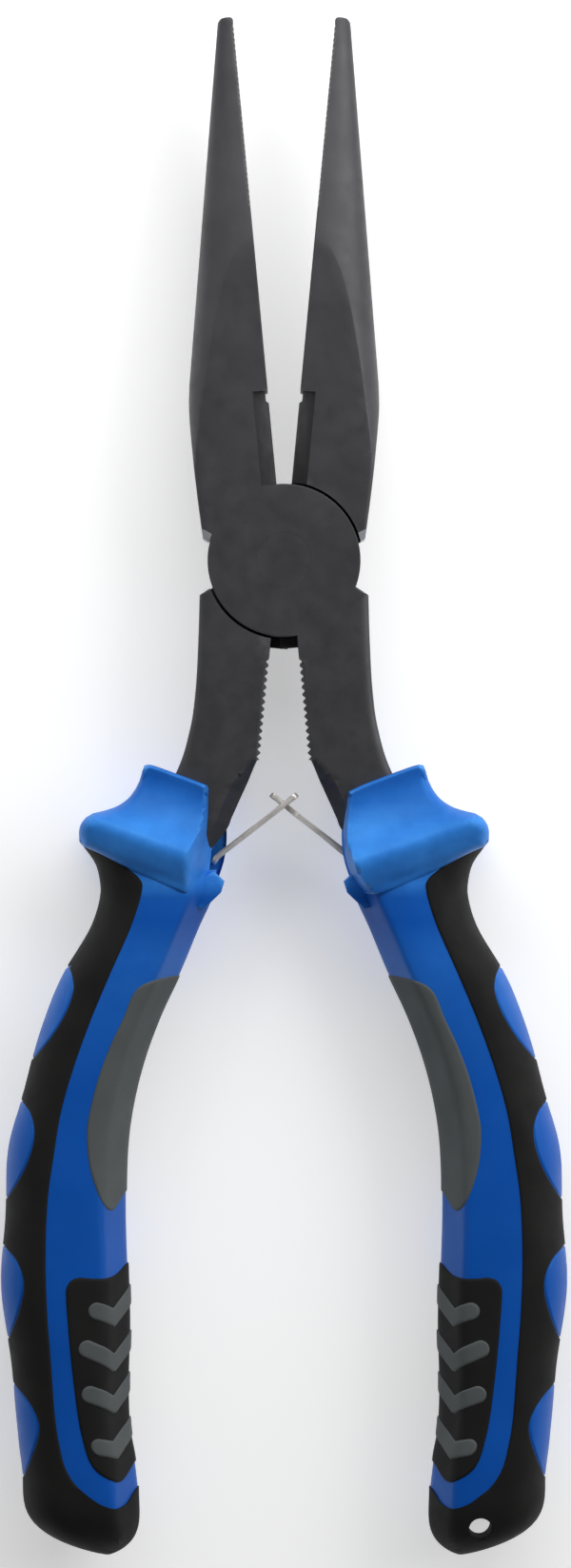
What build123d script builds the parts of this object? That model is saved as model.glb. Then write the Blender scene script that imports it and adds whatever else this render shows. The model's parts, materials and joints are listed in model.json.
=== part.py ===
"""Long-nose fishing pliers with leaf springs and multi-shot moulded grips.

The pliers lie flat with their handles part open. +Y runs from the pivot to the jaw tips, +X
to the right-hand grip and +Z up. The origin is on the pivot axis, at the flat back of the
joint. Both halves have the same shape: the left-hand grip with its lever is the right-hand
one, given half a turn about the long axis. The front lever has the left jaw, the half disc
nearest the viewer and the leg that runs into the right-hand grip.
"""
from build123d import *
import os
from math import cos, radians, sin

# ---- joint and levers, millimetres and degrees ----
THICKNESS = 10.0            # of the joint and the legs
MID_Z = THICKNESS / 2
REST_OPENING = 5.35         # of each half, from the closed position
JOINT_RADIUS = 10.4
LAP_GAP = 0.35              # round each half disc
LAP_CLEARANCE = 0.1         # between the flat lap faces
HALF_DISC = MID_Z - LAP_CLEARANCE / 2
RIVET_RADIUS = 3.0
RIVET_HEAD_RADIUS = 3.8
RIVET_HEAD_DEPTH = 1.2
RIVET_CLEARANCE = 0.05      # running fit in the front lever
WEB_HALF_WIDTH = 1.6        # of the web between the legs
WEB_DEPTH = 2.4
WEB_END_Y = -11.9
WEB_RELIEF = 0.4

# ---- jaws ----
JAW_TIP_Y = 74.5
JAW_GAP = 0.05              # from each jaw face to the centre line when closed
TIP_WIDTH = 2.1
TIP_HALF_THICKNESS = 1.7
NOSE_LENGTH = 72.0
NOSE_WIDTH_SLOPE = 0.173
NOSE_THICKNESS_SLOPE = 0.107
CUTTER_TOP_Y = 23.2
CUTTER_BEVEL = 1.6
CUTTER_LAND = 0.3           # half height left flat along each cutting edge
JAW_TOOTH_PITCH = 0.7
JAW_TOOTH_COUNT = 34
JAW_TEETH_MIDDLE_Y = 61.4
LEG_TOOTH_PITCH = 0.95
LEG_TOOTH_COUNT = 15
LEG_TEETH_MIDDLE_Y = -20.4
LEG_INNER_X = 0.95

# ---- grips ----
SKIN = 1.4                  # depth of the soft pieces
INNER_BEVEL = 3.0
INNER_FLAT = 1.0            # half width of the flat along the inner edge
OUTER_ROUND = 5.5
RIDGE_DROP = 0.4
CROWN = 0.1
TANG_HALF_THICKNESS = 3.0
CHEVRON_WIDTH = 2.4
LANYARD_RADIUS = 1.6
LANYARD_CENTRE = (26.7, -131.6)
GUARD_TILT = 19.6           # of the thumb guard's ridge
GUARD_RIDGE = (19.8, -37.6)
GUARD_HALF_THICKNESS = 10.0
BEYOND = 60.0               # a plan outline runs this far past the piece that it cuts

# ---- leaf springs ----
SPRING_ROOT = (9.8, -41.3)
SPRING_ANGLE = 40.0         # above the cross line, at rest
SPRING_LENGTH = 15.6
SPRING_THICKNESS = 0.6
SPRING_WIDTH = 4.5
SPRING_EYE_RADIUS = 0.5
SPRING_POCKET_RADIUS = 0.9
SPRING_SIDE_ROOM = 0.3
TONGUE_WIDTH = 1.7
SLOT_WIDTH = 2.4
SLOT_START = 11.6
SLOT_END = 15.0

HALF_TURN = Axis((0, 0, MID_Z), (0, 1, 0))

# sections of the right-hand grip: y, inner x, outer x, half thickness
GRIP_SECTIONS = [
    (-37.0, 8.9, 23.5, 6.6),
    (-46.0, 10.0, 25.4, 6.8),
    (-56.0, 14.1, 30.2, 7.0),
    (-68.0, 19.0, 34.9, 7.0),
    (-80.0, 21.3, 37.6, 7.0),
    (-93.0, 21.5, 38.7, 7.0),
    (-106.0, 21.2, 38.0, 7.0),
    (-118.0, 21.6, 36.5, 7.0),
    (-128.5, 19.9, 35.5, 6.8),
    (-137.0, 20.2, 34.6, 5.2),
]
CORE_SECTIONS = GRIP_SECTIONS[:-1]

# three points on the inner edge of each blue finger pad
FINGER_PADS = [
    ((29.8, -54.8), (28.6, -59.2), (34.6, -68.9)),
    ((35.8, -73.2), (33.9, -77.9), (38.3, -87.8)),
    ((38.6, -93.0), (35.4, -97.8), (38.0, -107.0)),
    ((36.9, -111.7), (33.2, -116.6), (35.7, -125.6)),
]
# outer end, bend and inner end of each chevron's centre line
CHEVRONS = [
    ((24.9, -102.2), (22.9, -103.0), (17.5, -96.9)),
    ((26.3, -107.3), (22.9, -109.0), (17.5, -102.9)),
    ((25.9, -113.6), (22.9, -114.8), (17.5, -108.7)),
    ((24.6, -119.9), (22.9, -120.4), (17.5, -114.3)),
]


# ---- plan outlines of the jaw and the leg, in the closed position ----
def jaw_outline():
    Polyline(
        (-5, 0), (-JAW_GAP, 6), (-JAW_GAP, CUTTER_TOP_Y), (-0.55, CUTTER_TOP_Y + 0.25),
        (-JAW_GAP, CUTTER_TOP_Y + 0.5), (-JAW_GAP, JAW_TIP_Y), (-12, JAW_TIP_Y), (-12, 25),
        (-10.9, 25),
    )
    Spline((-10.9, 25), (-11.0, 15), (-10.7, 5.0))
    Polyline((-10.7, 5.0), (-9.7, 3.2), (-5, 0))


def leg_outline():
    Polyline((LEG_INNER_X, -6), (5, 0), (9.4, -4.5), (11.0, -5.8))
    Spline((11.0, -5.8), (10.4, -19), (11.9, -30), (15.6, -38))
    Line((15.6, -38), (8.5, -44))
    Spline((8.5, -44), (4.3, -37.5), (LEG_INNER_X + 0.4, -28))
    Polyline((LEG_INNER_X + 0.4, -28), (LEG_INNER_X, -13.4), (LEG_INNER_X, -6))


# ---- plan outlines of the right-hand grip, at rest ----
def tang_outline():
    Spline((12.6, -40), (15.4, -46), (20.2, -56), (24.8, -68), (27.4, -80), (28.2, -92))
    Line((28.2, -92), (32.0, -92))
    Spline((32.0, -92), (31.6, -80), (29.4, -68), (25.0, -56), (20.4, -46), (18.0, -40))
    Line((18.0, -40), (12.6, -40))


def tail_outline():
    """The whole grip from above, with the tail's rounded end."""
    Polyline((19.8, -127), (0, -100), (0, -20), (BEYOND, -20), (BEYOND, -127), (35.6, -127))
    Spline(
        (35.6, -127), (33.9, -131.3), (29.5, -134.2), (24.6, -135.6), (20.9, -133.8),
        (19.8, -130), (19.8, -127),
    )


def band_outline():
    """The soft outer band, with everything outside it and below it."""
    Spline(
        (19.3, -43.5), (23.6, -56.3), (28.5, -69), (31.2, -81), (32.3, -94),
        (31.6, -108.5), (30.0, -121), (26.5, -127), (22, -129.2), (17, -127),
    )
    Polyline((17, -127), (17, -150), (BEYOND, -150), (BEYOND, -43.5), (19.3, -43.5))


def panel_outline():
    Polyline((29.7, -98.3), (29.1, -106.7), (27.9, -117.3), (26.7, -122.6))
    Spline((26.7, -122.6), (24.9, -124.6), (22.0, -125.8), (19.6, -122.5), (15, -120))
    Polyline((15, -120), (15, -94), (20.9, -95.5), (23.2, -97.6), (28.9, -97.6), (29.7, -98.3))


def inlay_outline():
    Spline(
        (10, -56.2), (18.9, -57.4), (21.9, -62), (25.2, -70.2), (26.8, -78.1),
        (25.6, -85), (23.4, -88.4), (20.5, -84), (15, -79),
    )
    Line((15, -79), (10, -56.2))


def guard_outline():
    """The thumb guard from above: saddle, horn and lip."""
    Line((9.8, -31.1), (18.1, -27.5))
    Spline((18.1, -27.5), (20.0, -28.2), (21.1, -30.9), (23.0, -32.8), (26.2, -34.2))
    ThreePointArc((26.2, -34.2), (28.2, -36.0), (27.6, -38.4))
    Spline((27.6, -38.4), (24.6, -40.4), (20.9, -42.1), (13.7, -44.9))
    Polyline((13.7, -44.9), (9.3, -43.0), (9.3, -39.1), (9.2, -34.6), (9.8, -31.1))


def socket_outline():
    """The small block below the spring's root."""
    Polyline((12, -44), (9.6, -42.3), (8.2, -43.8), (10.6, -46.2), (13, -47), (12, -44))


def spring_room_outline():
    """The mouth through which the spring leaves the grip and swings."""
    Polyline(
        (10.2, -42.1), (10.5, -40.9), (9.1, -37.6), (5, -36), (5, -42.1), (10.2, -42.1),
    )


def plan_prism(outline, half_height=BEYOND):
    """A plan outline made solid, both ways from the middle plane."""
    with BuildPart() as prism:
        with BuildSketch(Plane.XY.offset(MID_Z)):
            with BuildLine():
                outline()
            make_face()
        extrude(amount=half_height, both=True)
    return prism.part


def grip_envelope(sections, inset):
    """The grip's body through level sections, shrunk all round by an inset."""
    with BuildPart() as envelope:
        for y, inner, outer, half in sections:
            x_in = inner + inset
            x_out = outer - inset
            top = half - inset
            ridge_x = x_in + INNER_BEVEL
            ridge_z = top - RIDGE_DROP
            shoulder_x = x_out - OUTER_ROUND
            crown_x = (ridge_x + shoulder_x) / 2
            crown_z = top + CROWN
            section = Plane(origin=(0, y, MID_Z), x_dir=(1, 0, 0), z_dir=(0, -1, 0))
            with BuildSketch(section):
                with BuildLine():
                    Polyline((ridge_x, -ridge_z), (x_in, -INNER_FLAT), (x_in, INNER_FLAT), (ridge_x, ridge_z))
                    ThreePointArc((ridge_x, ridge_z), (crown_x, crown_z), (shoulder_x, top))
                    ThreePointArc((shoulder_x, top), (x_out, 0), (shoulder_x, -top))
                    ThreePointArc((shoulder_x, -top), (crown_x, -crown_z), (ridge_x, -ridge_z))
                make_face()
        loft()
    return envelope.part


def rivet_shape(clearance):
    """A pin with a countersunk head flush with each face, grown by a clearance."""
    radius = RIVET_RADIUS + clearance
    head = RIVET_HEAD_RADIUS + clearance
    with BuildPart() as shape:
        with BuildSketch(Plane.XZ):
            with BuildLine():
                Polyline(
                    (0, 0), (head, 0), (radius, RIVET_HEAD_DEPTH),
                    (radius, THICKNESS - RIVET_HEAD_DEPTH), (head, THICKNESS), (0, THICKNESS), (0, 0),
                )
            make_face()
        revolve(axis=Axis.Z)
    return shape.part


def spring_leaf(side, slotted):
    """A flat leaf with an eye at its root: the left one has a slot, the right one a tongue."""
    run = (-side * cos(radians(SPRING_ANGLE)), sin(radians(SPRING_ANGLE)), 0)
    face = (sin(radians(SPRING_ANGLE)), side * cos(radians(SPRING_ANGLE)), 0)
    root = (side * SPRING_ROOT[0], SPRING_ROOT[1], MID_Z)
    with BuildPart() as leaf:
        with BuildSketch(Plane(origin=root, x_dir=run, z_dir=face)):
            if slotted:
                with Locations((SPRING_LENGTH / 2, 0)):
                    Rectangle(SPRING_LENGTH, SPRING_WIDTH)
                with Locations(((SLOT_START + SLOT_END) / 2, 0)):
                    Rectangle(SLOT_END - SLOT_START, SLOT_WIDTH, mode=Mode.SUBTRACT)
            else:
                with Locations((SLOT_START / 2 - 0.5, 0)):
                    Rectangle(SLOT_START - 1, SPRING_WIDTH)
                with Locations((SPRING_LENGTH / 2, 0)):
                    Rectangle(SPRING_LENGTH, TONGUE_WIDTH)
        extrude(amount=SPRING_THICKNESS / 2, both=True)
        with Locations(root):
            Cylinder(SPRING_EYE_RADIUS, SPRING_WIDTH)
    return leaf.part


# ---- tools shared by the pieces ----
with BuildPart() as nose_cone:
    for distance in (0, NOSE_LENGTH):
        cross_plane = Plane(origin=(0, JAW_TIP_Y - distance, MID_Z), x_dir=(1, 0, 0), z_dir=(0, -1, 0))
        with BuildSketch(cross_plane):
            Ellipse(
                TIP_WIDTH + NOSE_WIDTH_SLOPE * distance,
                TIP_HALF_THICKNESS + NOSE_THICKNESS_SLOPE * distance,
            )
    loft()

with BuildPart() as grip_body:
    add(grip_envelope(GRIP_SECTIONS, 0))
    add(plan_prism(tail_outline), mode=Mode.INTERSECT)

with BuildPart() as grip_skin:
    add(grip_body.part)
    add(grip_envelope(CORE_SECTIONS, SKIN), mode=Mode.SUBTRACT)

with BuildPart() as thumb_guard:
    across = (cos(radians(GUARD_TILT)), sin(radians(GUARD_TILT)), 0)
    along = (-sin(radians(GUARD_TILT)), cos(radians(GUARD_TILT)), 0)
    with BuildSketch(Plane(origin=(*GUARD_RIDGE, MID_Z), x_dir=along, z_dir=across)):
        with BuildLine() as guard_profile:
            Line((11.5, 0), (11.5, 5.9))
            ThreePointArc((11.5, 5.9), (5.2, 7.0), (0.8, GUARD_HALF_THICKNESS))
            ThreePointArc((0.8, GUARD_HALF_THICKNESS), (-1.0, 9.8), (-2.2, 8.8))
            Polyline((-2.2, 8.8), (-4.6, 7.3), (-9, 7.0), (-9, 0))
            mirror(about=Plane.XZ)
        make_face()
    extrude(amount=BEYOND, both=True)
    add(plan_prism(guard_outline), mode=Mode.INTERSECT)

# ---- lever: a jaw, half of the joint and the opposite leg ----
with BuildPart() as lever_closed:
    add(plan_prism(jaw_outline, MID_Z))
    add(nose_cone.part, mode=Mode.INTERSECT)
    # the side cutter's bevels
    with BuildSketch(Plane.XZ.offset(-CUTTER_TOP_Y)):
        for face_z, edge_z in ((0, MID_Z - CUTTER_LAND), (THICKNESS, MID_Z + CUTTER_LAND)):
            with BuildLine():
                Polyline((0, edge_z), (-CUTTER_BEVEL, face_z), (0, face_z), (0, edge_z))
            make_face()
    extrude(amount=CUTTER_TOP_Y - 6, mode=Mode.SUBTRACT)
    add(plan_prism(leg_outline, MID_Z))
    # fine teeth on the jaw, coarse teeth on the leg
    with BuildSketch(Plane.XY):
        with Locations((-JAW_GAP, JAW_TEETH_MIDDLE_Y)):
            with GridLocations(1, JAW_TOOTH_PITCH, 1, JAW_TOOTH_COUNT):
                Rectangle(JAW_TOOTH_PITCH * 0.6, JAW_TOOTH_PITCH * 0.6, rotation=45)
        with Locations((LEG_INNER_X + 0.15, LEG_TEETH_MIDDLE_Y)):
            with GridLocations(1, LEG_TOOTH_PITCH, 1, LEG_TOOTH_COUNT):
                Rectangle(LEG_TOOTH_PITCH * 0.7, LEG_TOOTH_PITCH * 0.7, rotation=45)
    extrude(amount=THICKNESS, mode=Mode.SUBTRACT)
    # recess for the other lever's half disc and its web
    with BuildSketch(Plane.XY):
        Circle(JOINT_RADIUS + LAP_GAP)
    extrude(amount=MID_Z + LAP_CLEARANCE / 2, mode=Mode.SUBTRACT)
    web_relief_depth = WEB_DEPTH + WEB_RELIEF
    with BuildSketch(Plane.XY.offset(MID_Z - web_relief_depth)):
        with Locations((0, (WEB_END_Y - WEB_RELIEF) / 2)):
            Rectangle(2 * (WEB_HALF_WIDTH + WEB_RELIEF), -(WEB_END_Y - WEB_RELIEF))
    extrude(amount=web_relief_depth + LAP_CLEARANCE / 2, mode=Mode.SUBTRACT)
    # this lever's own half disc and web
    with BuildSketch(Plane.XY.offset(THICKNESS - HALF_DISC)):
        Circle(JOINT_RADIUS)
    extrude(amount=HALF_DISC)
    with BuildSketch(Plane.XY.offset(THICKNESS - HALF_DISC)):
        with Locations((0, WEB_END_Y / 2)):
            Rectangle(2 * WEB_HALF_WIDTH, -WEB_END_Y)
    extrude(amount=WEB_DEPTH)

with BuildPart() as lever_blank:
    add(lever_closed.part.rotate(Axis.Z, REST_OPENING))
    add(plan_prism(tang_outline, TANG_HALF_THICKNESS))

with BuildPart() as lever_front:
    add(lever_blank.part)
    add(rivet_shape(RIVET_CLEARANCE), mode=Mode.SUBTRACT)

with BuildPart() as lever_back:
    add(lever_blank.part.rotate(HALF_TURN, 180))
    add(rivet_shape(0), mode=Mode.SUBTRACT)

with BuildPart() as pivot_rivet:
    add(rivet_shape(0))

# ---- the soft pieces of the right-hand grip ----
with BuildPart() as overmould:
    add(plan_prism(band_outline))
    for pad in FINGER_PADS:
        with BuildSketch(Plane.XY.offset(MID_Z - BEYOND)):
            with BuildLine():
                Spline(*pad)
                Polyline(pad[-1], (BEYOND, pad[-1][1]), (BEYOND, pad[0][1]), pad[0])
            make_face()
        extrude(amount=2 * BEYOND, mode=Mode.SUBTRACT)
    add(grip_skin.part, mode=Mode.INTERSECT)
    add(thumb_guard.part, mode=Mode.SUBTRACT)

chevrons = []
for outer_end, bend, inner_end in CHEVRONS:
    with BuildPart() as chevron:
        with BuildSketch(Plane.XY.offset(MID_Z - BEYOND)):
            with BuildLine():
                Polyline(outer_end, bend, inner_end)
            trace(line_width=CHEVRON_WIDTH)
            with Locations(outer_end, bend):
                Circle(CHEVRON_WIDTH / 2)
        extrude(amount=2 * BEYOND)
        add(grip_skin.part, mode=Mode.INTERSECT)
    chevrons.append(chevron.part)

with BuildPart() as palm_panel:
    add(plan_prism(panel_outline))
    add(grip_skin.part, mode=Mode.INTERSECT)
    for bar in chevrons:
        add(bar, mode=Mode.SUBTRACT)

with BuildPart() as inlay:
    add(plan_prism(inlay_outline))
    add(grip_skin.part, mode=Mode.INTERSECT)

# ---- the hard core of the right-hand grip, with guard and spring socket ----
with BuildPart() as grip_core:
    add(grip_body.part)
    add(thumb_guard.part)
    add(plan_prism(socket_outline, SPRING_WIDTH / 2 + 1.5))
    for piece in (overmould.part, palm_panel.part, inlay.part, *chevrons):
        add(piece, mode=Mode.SUBTRACT)
    add(lever_blank.part, mode=Mode.SUBTRACT)
    add(plan_prism(spring_room_outline, SPRING_WIDTH / 2 + SPRING_SIDE_ROOM), mode=Mode.SUBTRACT)
    with Locations((*SPRING_ROOT, MID_Z)):
        Cylinder(
            SPRING_POCKET_RADIUS,
            SPRING_WIDTH + 2 * SPRING_SIDE_ROOM,
            mode=Mode.SUBTRACT,
        )

# ---- both hands of every grip piece, and the springs ----
grip_pieces = {
    "grip_core": grip_core.part,
    "overmould": overmould.part,
    "palm_panel": palm_panel.part,
    "inlay": inlay.part,
}
for number, bar in enumerate(chevrons, start=1):
    grip_pieces[f"chevron_{number}"] = bar

os.makedirs("parts", exist_ok=True)
for name, shape in grip_pieces.items():
    with BuildPart() as right_piece:
        add(shape)
        if name == "overmould":
            with Locations((*LANYARD_CENTRE, MID_Z)):
                Cylinder(LANYARD_RADIUS, THICKNESS * 2, mode=Mode.SUBTRACT)
    right_piece.part.label = f"right_{name}"
    export_step(right_piece.part, f"parts/right_{name}.step")
    with BuildPart() as left_piece:
        add(shape.rotate(HALF_TURN, 180))
    left_piece.part.label = f"left_{name}"
    export_step(left_piece.part, f"parts/left_{name}.step")

with BuildPart() as left_spring:
    add(spring_leaf(side=-1, slotted=True))
left_spring.part.label = "left_spring"
export_step(left_spring.part, "parts/left_spring.step")

with BuildPart() as right_spring:
    add(spring_leaf(side=1, slotted=False))
right_spring.part.label = "right_spring"
export_step(right_spring.part, "parts/right_spring.step")

lever_front.part.label = "lever_front"
export_step(lever_front.part, "parts/lever_front.step")
lever_back.part.label = "lever_back"
export_step(lever_back.part, "parts/lever_back.step")
pivot_rivet.part.label = "pivot_rivet"
export_step(pivot_rivet.part, "parts/pivot_rivet.step")
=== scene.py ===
"""Looks of the long-nose fishing pliers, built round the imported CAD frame.

Shapes are worked out in millimetres in the row frame and written to the meshes in metres.
The right-hand grip and the front lever are built; the left-hand ones are the same shapes
given half a turn about the long axis, as in the real pliers.
"""
import json
from contextlib import contextmanager
from functools import partial
from math import atan2, cos, degrees, hypot, pi, radians, sin, sqrt

import bmesh
import bpy
import numpy as np
from mathutils import Matrix, Vector
from mathutils.geometry import delaunay_2d_cdt


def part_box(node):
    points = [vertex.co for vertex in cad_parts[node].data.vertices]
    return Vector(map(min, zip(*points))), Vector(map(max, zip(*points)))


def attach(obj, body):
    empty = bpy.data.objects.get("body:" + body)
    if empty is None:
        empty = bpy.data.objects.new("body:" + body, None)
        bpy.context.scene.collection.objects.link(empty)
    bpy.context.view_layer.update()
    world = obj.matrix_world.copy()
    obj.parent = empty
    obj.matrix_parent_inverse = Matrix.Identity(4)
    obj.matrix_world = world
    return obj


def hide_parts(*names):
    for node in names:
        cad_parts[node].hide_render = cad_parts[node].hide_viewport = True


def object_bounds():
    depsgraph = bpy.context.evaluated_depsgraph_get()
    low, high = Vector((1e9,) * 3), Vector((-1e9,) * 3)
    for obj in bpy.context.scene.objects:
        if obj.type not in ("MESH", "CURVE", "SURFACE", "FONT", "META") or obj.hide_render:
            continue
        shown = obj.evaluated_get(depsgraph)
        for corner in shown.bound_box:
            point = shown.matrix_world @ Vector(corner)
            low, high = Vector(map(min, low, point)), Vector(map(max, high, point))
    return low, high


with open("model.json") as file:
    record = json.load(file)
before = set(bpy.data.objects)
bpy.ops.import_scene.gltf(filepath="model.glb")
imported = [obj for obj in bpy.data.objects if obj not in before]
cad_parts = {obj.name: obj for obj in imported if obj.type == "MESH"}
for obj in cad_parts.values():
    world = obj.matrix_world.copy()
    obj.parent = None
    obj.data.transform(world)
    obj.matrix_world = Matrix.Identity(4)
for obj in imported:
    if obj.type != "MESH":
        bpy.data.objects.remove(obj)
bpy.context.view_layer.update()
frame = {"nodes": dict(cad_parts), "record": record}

MM = 0.001
rivet_low, rivet_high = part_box("pivot_rivet")
MID_Z = (rivet_low[2] + rivet_high[2]) / 2 / MM
HALF_THICK = (rivet_high[2] - rivet_low[2]) / 2 / MM
JOINTS = {joint["name"]: joint for joint in frame["record"]["behaviour"]["joints"]}
MOUNTS = {mount["name"]: mount for mount in frame["record"]["mounts"]}
TAIL_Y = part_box("right_overmould")[0][1] / MM

REST_OPENING = radians(5.35)  # each half from closed
SHARP_ANGLE = radians(32)  # edges that turn more are shaded sharp


# --- curves and outlines
SAME_POINT = 0.02  # outline points nearer than this are one point
BATCH = 1500  # points measured at a time


def smooth_curve(knots, step=0.4):
    """A smooth curve through the knots, sampled about every step."""
    knots = np.array(knots, float)
    p = np.vstack([2 * knots[0] - knots[1], knots, 2 * knots[-1] - knots[-2]])
    out = []
    for a, b, c, d in zip(p, p[1:], p[2:], p[3:]):
        count = max(2, int(np.linalg.norm(c - b) / step))
        for u in np.arange(count) / count:
            out.append(0.5 * (2 * b + (c - a) * u + (2 * a - 5 * b + 4 * c - d) * u**2
                              + (3 * b - a - 3 * c + d) * u**3))
    return np.array(out + [knots[-1]])


def straight(a, b, step=0.5):
    """Evenly spaced points from a to b."""
    count = max(1, int(round(hypot(b[0] - a[0], b[1] - a[1]) / step)))
    u = np.arange(count + 1)[:, None] / count
    return np.array(a) * (1 - u) + np.array(b) * u


def arc(centre, radius, start, end, step=0.35):
    """Points on a circle between two angles in degrees."""
    count = max(4, int(abs(radians(end - start)) * radius / step))
    angle = np.radians(np.linspace(start, end, count + 1))
    return np.array(centre) + radius * np.column_stack([np.cos(angle), np.sin(angle)])


def outline_of(stretches):
    """One closed outline, with the rim size of each point, from (points, rim) stretches.

    A rim given as a pair runs from the first size to the second along its stretch.
    """
    points = []
    for stretch, rim in stretches:
        first, last = rim if isinstance(rim, tuple) else (rim, rim)
        for (x, y), size in zip(stretch, np.linspace(first, last, len(stretch))):
            if not points or hypot(x - points[-1][0], y - points[-1][1]) > SAME_POINT:
                points.append((x, y, size))
    if hypot(points[0][0] - points[-1][0], points[0][1] - points[-1][1]) <= SAME_POINT:
        points.pop()
    points = np.array(points)
    return points[:, :2], points[:, 2]


def path(*pieces):
    """Joins stretches of outline and drops repeated points."""
    return outline_of([(piece, 0.0) for piece in pieces])[0]


def inside(points, loops):
    """Even-odd test of points against closed loops."""
    hit = np.zeros(len(points), bool)
    for loop in loops:
        a, b = loop, np.roll(loop, -1, axis=0)
        for (ax, ay), (bx, by) in zip(a, b):
            if ay == by:
                continue
            spans = (ay > points[:, 1]) != (by > points[:, 1])
            cross_x = (bx - ax) * (points[:, 1] - ay) / (by - ay) + ax
            hit ^= spans & (points[:, 0] < cross_x)
    return hit


def rim_distance(points, loops, rims):
    """Distance to the nearest edge of the outline, and that edge's rim size."""
    a = np.vstack(loops)
    b = np.vstack([np.roll(loop, -1, axis=0) for loop in loops])
    rim = np.concatenate(rims)
    ab = b - a
    length2 = np.maximum((ab**2).sum(1), 1e-12)
    distance = np.empty(len(points))
    size = np.empty(len(points))
    for start in range(0, len(points), BATCH):
        batch = slice(start, start + BATCH)
        p = points[batch, None, :]
        u = np.clip(((p - a) * ab).sum(2) / length2, 0, 1)
        gap = np.sqrt((((a + u[..., None] * ab) - p) ** 2).sum(2))
        nearest = gap.argmin(1)
        distance[batch] = gap[np.arange(len(nearest)), nearest]
        size[batch] = rim[nearest]
    return distance, size


def rounded(distance, rim):
    """0 at the outline, 1 from a rim's width inwards, along a quarter circle."""
    u = np.clip(1 - distance / np.maximum(rim, 1e-6), 0, 1)
    return np.where(rim < 0.01, 1.0, np.sqrt(np.maximum(1 - u**2, 0)))


# --- mesh making
# least distances between a flat domain's points: from the outline as a share of a ring's
# offset, from the last ring as a share of the spacing, from guides to the outline in
# millimetres, and from the grid to guides as a share of the spacing
RING_ROOM, GRID_ROOM, GUIDE_ROOM, GUIDE_SHARE = 0.9, 0.45, 0.25, 0.4


def link_object(name, data):
    """A new object of the scene."""
    obj = bpy.data.objects.new(name, data)
    bpy.context.scene.collection.objects.link(obj)
    return obj


def new_object(name, vertices, faces):
    """A mesh object from points in millimetres."""
    mesh = bpy.data.meshes.new(name)
    mesh.from_pydata([Vector(v) * MM for v in vertices], [], faces)
    return link_object(name, mesh)


@contextmanager
def editing(mesh):
    """The mesh as a bmesh, written back at the end."""
    bm = bmesh.new()
    bm.from_mesh(mesh)
    yield bm
    bm.to_mesh(mesh)
    bm.free()


def tidy_mesh(obj, merge=1e-7):
    """Merges doubles and turns the faces outwards."""
    with editing(obj.data) as bm:
        bmesh.ops.remove_doubles(bm, verts=bm.verts, dist=merge)
        bmesh.ops.dissolve_degenerate(bm, edges=bm.edges, dist=merge)
        bmesh.ops.recalc_face_normals(bm, faces=bm.faces)


def slab(name, loops, top, bottom, rims, rings, spacing, seam=None, guides=None):
    """A closed piece over a flat domain bounded by loops.

    top and bottom take (points, distance, rim) and give points in space. rims is one size
    or a size for each point of each loop. seam tells which edge midpoints of the domain's
    outline close onto another stretch and get no wall. guides are points that the mesh has
    to pass through.
    """
    if isinstance(rims, float):
        rims = [np.full(len(loop), rims) for loop in loops]
    edges, starts = [], 0
    border = np.vstack(loops)

    def clear(points, room):
        """Points inside the loops that are more than room from the outline."""
        within = inside(points, loops)
        points, room = points[within], np.broadcast_to(room, len(within))[within]
        gap, _ = rim_distance(points, loops, rims)
        return points[gap > room]

    offsets, room = [], []
    for loop in loops:
        count = len(loop)
        edges += [(starts + i, starts + (i + 1) % count) for i in range(count)]
        starts += count
        along = np.roll(loop, -1, axis=0) - np.roll(loop, 1, axis=0)
        along /= np.maximum(np.linalg.norm(along, axis=1), 1e-9)[:, None]
        across = np.column_stack([-along[:, 1], along[:, 0]])
        for ring in rings:
            offsets += [loop + across * ring, loop - across * ring]
            room.append(np.full(2 * count, ring * RING_ROOM))
    inner = clear(np.vstack(offsets), np.concatenate(room))
    low, high = border.min(0), border.max(0)
    grid = []
    for k, y in enumerate(np.arange(low[1], high[1], spacing * sqrt(3) / 2)):
        xs = np.arange(low[0] + (k % 2) * spacing / 2, high[0], spacing)
        grid.append(np.column_stack([xs, np.full(len(xs), y)]))
    grid = clear(np.vstack(grid), rings[-1] + spacing * GRID_ROOM)
    if guides is None:
        guides = np.empty((0, 2))
    else:
        guides = clear(guides, GUIDE_ROOM)
        grid = grid[[np.hypot(*(guides - p).T).min() > GUIDE_SHARE * spacing for p in grid]]
    everything = np.vstack([border, inner, grid, guides])
    verts, _, faces, _, _, _ = delaunay_2d_cdt([Vector(p) for p in everything], edges, [], 0, 1e-5)
    points = np.array([tuple(v) for v in verts])
    triangles = np.array(faces)
    triangles = triangles[inside(points[triangles].mean(1), loops)]
    gap, rim = rim_distance(points, loops, rims)
    seen = {(tri[i], tri[(i + 1) % 3]): True for tri in triangles for i in range(3)}
    outline = [edge for edge in seen if edge[::-1] not in seen]
    gap[[v for edge in outline for v in edge]] = 0
    upper, lower = top(points, gap, rim), bottom(points, gap, rim)
    count = len(points)
    mesh_faces = [tuple(t) for t in triangles] + [tuple(t[::-1] + count) for t in triangles]
    for a, b in outline:
        if seam is not None and seam((points[a] + points[b]) / 2):
            continue
        mesh_faces.append((a, a + count, b + count, b))
    obj = new_object(name, np.vstack([upper, lower]), [tuple(int(i) for i in f) for f in mesh_faces])
    with editing(obj.data) as bm:
        bmesh.ops.delete(bm, geom=[v for v in bm.verts if not v.link_faces], context="VERTS")
    tidy_mesh(obj, 1e-6 if seam else 1e-7)
    return obj


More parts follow.
